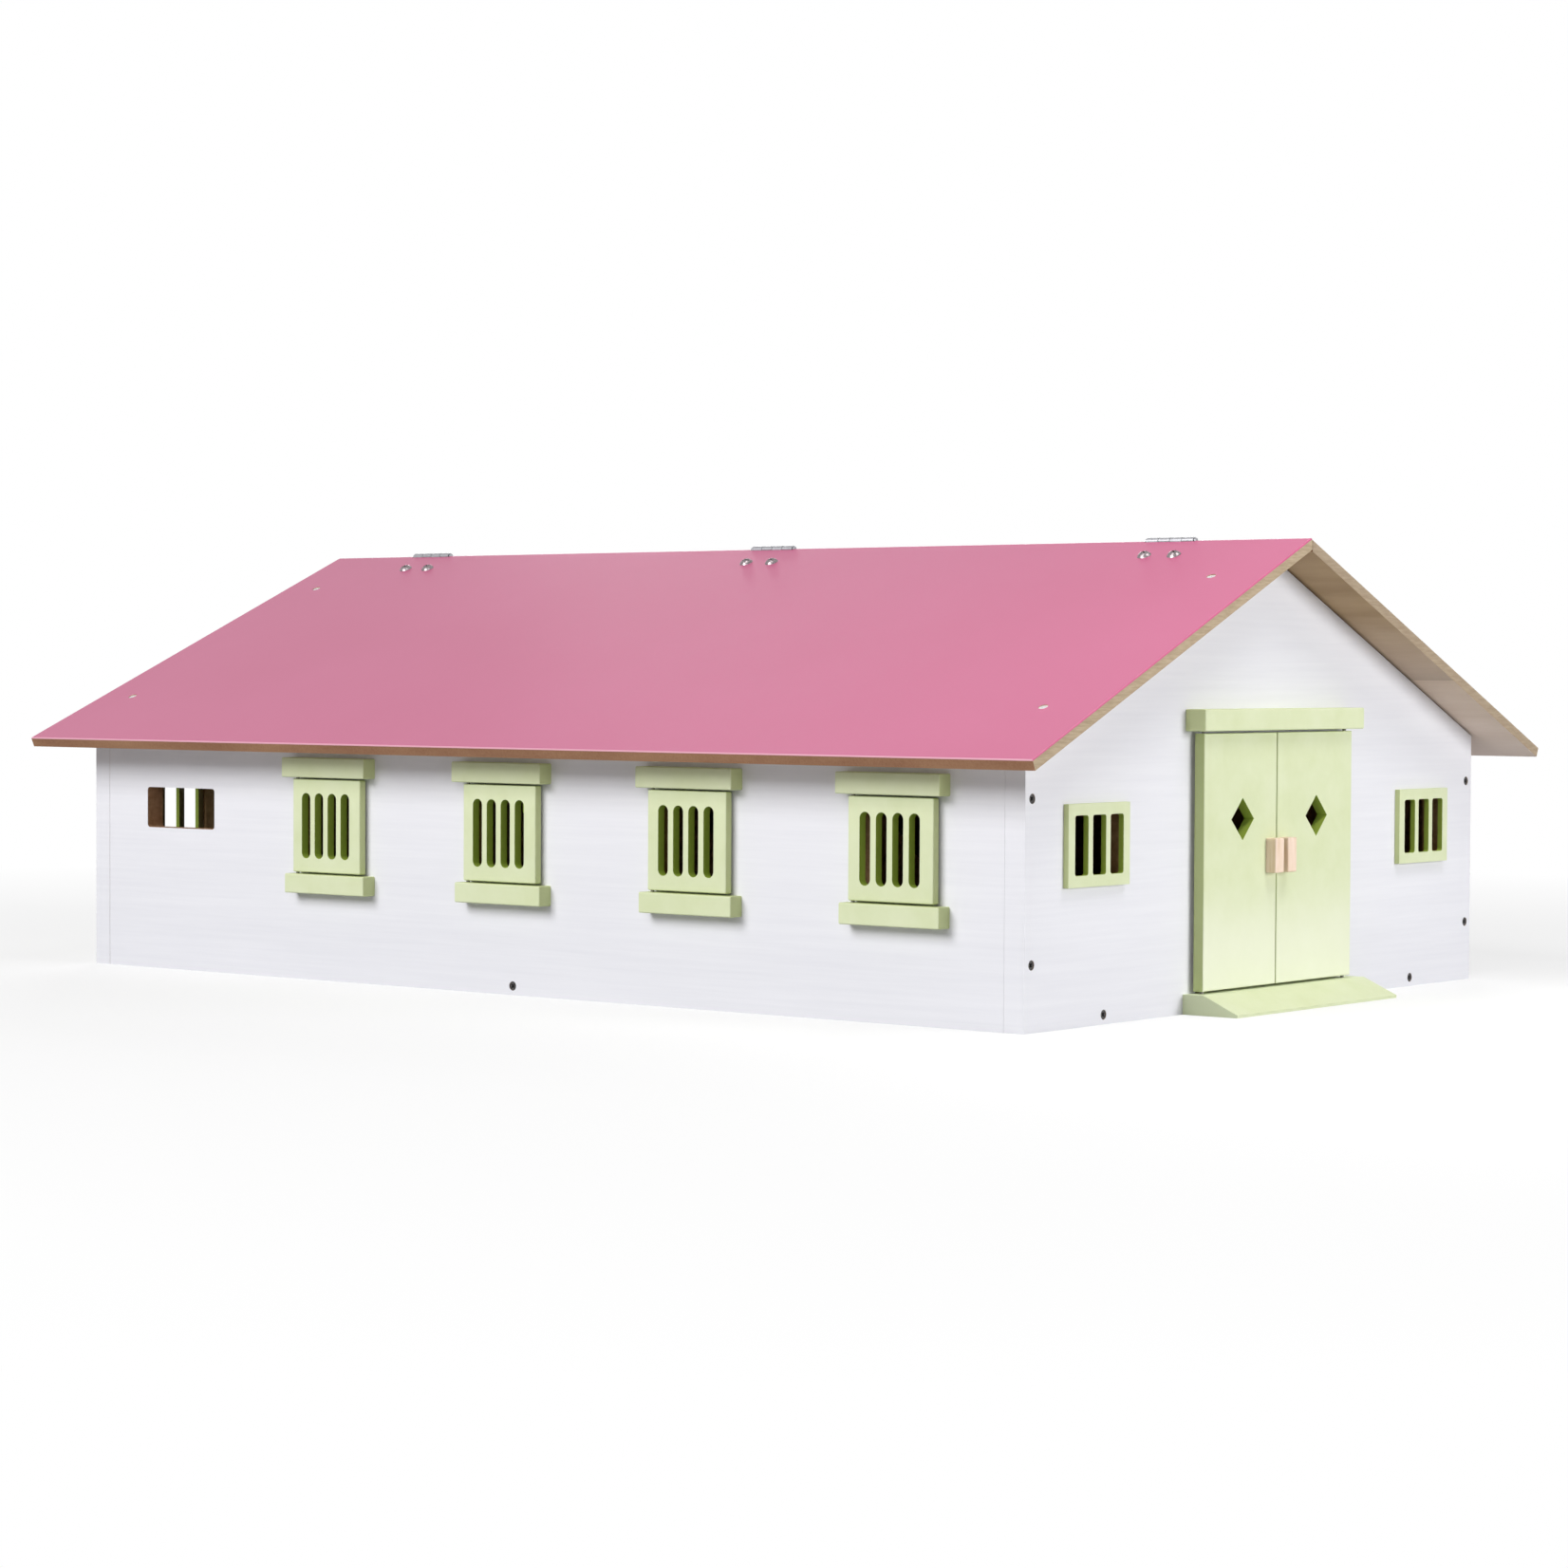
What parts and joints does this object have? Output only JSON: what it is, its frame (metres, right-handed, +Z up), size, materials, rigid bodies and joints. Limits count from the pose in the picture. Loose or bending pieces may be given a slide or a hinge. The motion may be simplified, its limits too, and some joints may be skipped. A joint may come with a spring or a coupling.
{
  "type": "toy stable",
  "caption": "Wooden toy stable with a lifting rear roof panel, double gable doors, slotted swing shutters and stalls along a central aisle.",
  "frame": {"origin": "on the ground under the middle of the building", "axes": "+X along the ridge towards the near gable, -Y out of the long wall with the shutters, +Z up"},
  "size_m": [0.7464, 0.516, 0.2513],
  "materials": {
    "pink_paint": "satin paint",
    "white_paint": "matt paint",
    "green_paint": "satin paint",
    "brown_board": "raw board",
    "bare_wood": "sanded bare wood",
    "zinc_steel": "zinc plated",
    "dark_steel": "blackened"
  },
  "bodies": {
    "building": {"floor_panel": "brown_board", "front_wall": "white_paint", "rear_wall": "white_paint", "near_gable": "white_paint", "far_gable": "white_paint", "front_roof_panel": "pink_paint", "hinge_1_fixed_leaf": "zinc_steel", "hinge_2_fixed_leaf": "zinc_steel", "hinge_3_fixed_leaf": "zinc_steel", "hinge_pins": "zinc_steel", "front_hinge_bolts": "zinc_steel", "front_hinge_nuts": "zinc_steel", "roof_screws": "zinc_steel", "corner_screws": "dark_steel", "floor_screws": "dark_steel", "door_pins": "zinc_steel", "shutter_pins": "zinc_steel", "near_lintel": "green_paint", "near_ramp": "green_paint", "near_left_window_grille": "green_paint", "near_right_window_grille": "green_paint", "far_lintel": "green_paint", "far_ramp": "green_paint", "far_left_window_grille": "green_paint", "far_right_window_grille": "green_paint", "window_1_header": "green_paint", "window_1_sill": "green_paint", "front_partition_1": "brown_board", "rear_partition_1": "brown_board", "window_2_header": "green_paint", "window_2_sill": "green_paint", "front_partition_2": "brown_board", "rear_partition_2": "brown_board", "window_3_header": "green_paint", "window_3_sill": "green_paint", "front_partition_3": "brown_board", "rear_partition_3": "brown_board", "window_4_header": "green_paint", "window_4_sill": "green_paint", "front_partition_4": "brown_board", "rear_partition_4": "brown_board"},
    "roof_lid": {"rear_roof_panel": "pink_paint", "hinge_1_moving_leaf": "zinc_steel", "hinge_2_moving_leaf": "zinc_steel", "hinge_3_moving_leaf": "zinc_steel", "rear_hinge_bolts": "zinc_steel", "rear_hinge_nuts": "zinc_steel"},
    "near_left_door_leaf": {"near_left_door": "green_paint", "near_left_door_handle": "bare_wood"},
    "near_right_door_leaf": {"near_right_door": "green_paint", "near_right_door_handle": "bare_wood"},
    "far_left_door_leaf": {"far_left_door": "green_paint", "far_left_door_handle": "bare_wood"},
    "far_right_door_leaf": {"far_right_door": "green_paint", "far_right_door_handle": "bare_wood"},
    "window_1_shutter_leaf": {"window_1_shutter": "green_paint"},
    "window_2_shutter_leaf": {"window_2_shutter": "green_paint"},
    "window_3_shutter_leaf": {"window_3_shutter": "green_paint"},
    "window_4_shutter_leaf": {"window_4_shutter": "green_paint"}
  },
  "joints": [
    {"name": "roof_lid_hinge", "type": "hinge", "parent": "building", "child": "roof_lid", "pos_m": [0, 0, 0.2493], "axis": [1, 0, 0], "range_deg": [0, 165]},
    {"name": "near_left_door_pivot", "type": "hinge", "parent": "building", "child": "near_left_door_leaf", "pos_m": [0.34495, -0.0718, 0.0789], "axis": [0, 0, -1], "range_deg": [0, 170]},
    {"name": "near_right_door_pivot", "type": "hinge", "parent": "building", "child": "near_right_door_leaf", "pos_m": [0.34495, 0.0718, 0.0789], "axis": [0, 0, 1], "range_deg": [0, 170]},
    {"name": "far_left_door_pivot", "type": "hinge", "parent": "building", "child": "far_left_door_leaf", "pos_m": [-0.34495, 0.0718, 0.0789], "axis": [0, 0, -1], "range_deg": [0, 170]},
    {"name": "far_right_door_pivot", "type": "hinge", "parent": "building", "child": "far_right_door_leaf", "pos_m": [-0.34495, -0.0718, 0.0789], "axis": [0, 0, 1], "range_deg": [0, 170]},
    {"name": "window_1_shutter_pivot", "type": "hinge", "parent": "building", "child": "window_1_shutter_leaf", "pos_m": [0.23705, -0.23, 0.0883], "axis": [0, 0, -1], "range_deg": [0, 180]},
    {"name": "window_2_shutter_pivot", "type": "hinge", "parent": "building", "child": "window_2_shutter_leaf", "pos_m": [0.10365, -0.23, 0.0883], "axis": [0, 0, -1], "range_deg": [0, 180]},
    {"name": "window_3_shutter_pivot", "type": "hinge", "parent": "building", "child": "window_3_shutter_leaf", "pos_m": [-0.02975, -0.23, 0.0883], "axis": [0, 0, -1], "range_deg": [0, 180]},
    {"name": "window_4_shutter_pivot", "type": "hinge", "parent": "building", "child": "window_4_shutter_leaf", "pos_m": [-0.16315, -0.23, 0.0883], "axis": [0, 0, -1], "range_deg": [0, 180]}
  ]
}
